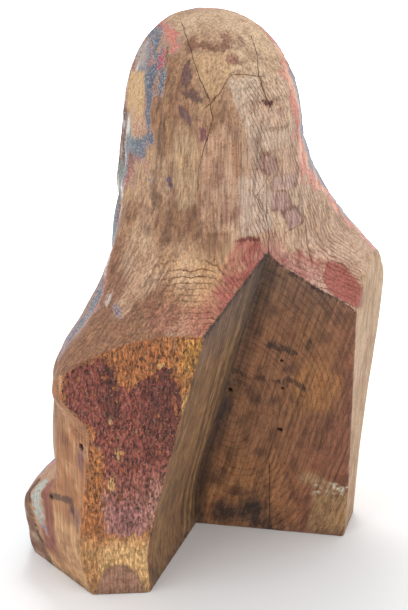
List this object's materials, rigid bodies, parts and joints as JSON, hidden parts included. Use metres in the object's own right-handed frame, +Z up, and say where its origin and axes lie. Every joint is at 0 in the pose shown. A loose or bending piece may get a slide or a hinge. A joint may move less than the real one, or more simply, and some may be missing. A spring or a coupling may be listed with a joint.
{
  "type": "female bust sculpture",
  "caption": "Carved wooden bust of a veiled woman, unpainted rough back with a deep V notch cut up into it, worn paint on the front, flat base",
  "frame": {"origin": "middle of the bust's box, on the flat base it stands on", "axes": "+Z up, -Y the way the face looks, +X the figure's left"},
  "size_m": [0.382, 0.2796, 0.5469],
  "materials": {
    "worn_wood": "old carved softwood, bare and tool-marked behind, with remains of red, ochre and grey-blue paint"
  },
  "bodies": {
    "root": {"bust": "worn_wood"}
  },
  "joints": []
}
